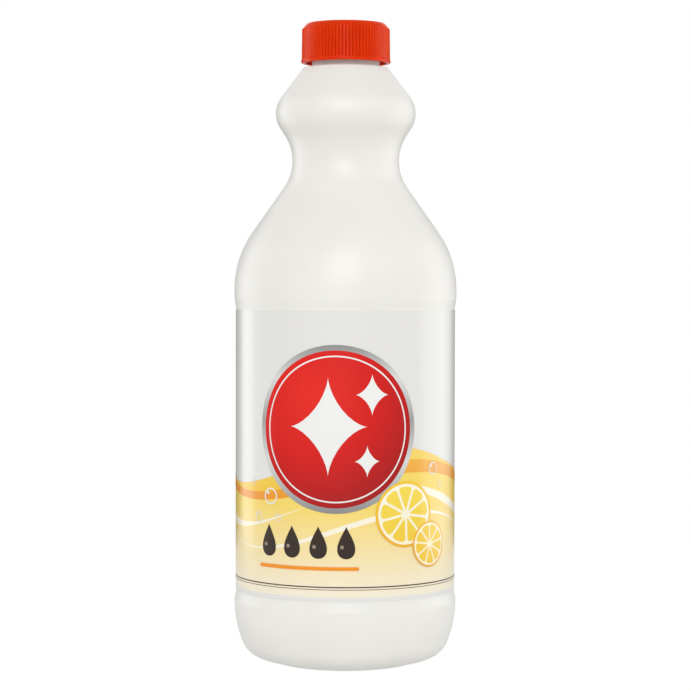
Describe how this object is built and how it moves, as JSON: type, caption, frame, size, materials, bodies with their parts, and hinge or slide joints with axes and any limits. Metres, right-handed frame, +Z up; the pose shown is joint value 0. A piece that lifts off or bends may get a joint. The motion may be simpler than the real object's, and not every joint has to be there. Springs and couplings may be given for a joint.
{
  "type": "bleach bottle",
  "caption": "Round blow-moulded bottle with a waist and a grip bulb under its neck, a wrap-round film label and a ribbed screw cap that turns and lifts off its thread.",
  "frame": {"origin": "centre of the base, on the surface that the bottle stands on", "axes": "+Z up along the bottle's axis, -Y towards the front of the label, +X to the right of someone facing the front"},
  "size_m": [0.094, 0.094, 0.2695],
  "materials": {
    "bottle_polyethylene": "satin",
    "label_film": "gloss",
    "liner_foam": "matte",
    "cap_polypropylene": "satin"
  },
  "bodies": {
    "bottle": {"bottle": "bottle_polyethylene", "label": "label_film"},
    "liner": {"cap_liner": "liner_foam"},
    "cap": {"cap": "cap_polypropylene"}
  },
  "joints": [
    {"name": "cap_lift", "type": "slide", "parent": "bottle", "child": "liner", "axis": [0, 0, 1], "range_m": [0, 0.01695]},
    {"name": "cap_turn", "type": "hinge", "parent": "liner", "child": "cap", "pos_m": [0, 0, 0.2629], "axis": [0, 0, 1], "range_deg": [0, 1440]}
  ],
  "couplings": [
    {"joint": "cap_lift", "follows": "cap_turn", "m_per_rad": 0.00067375}
  ]
}
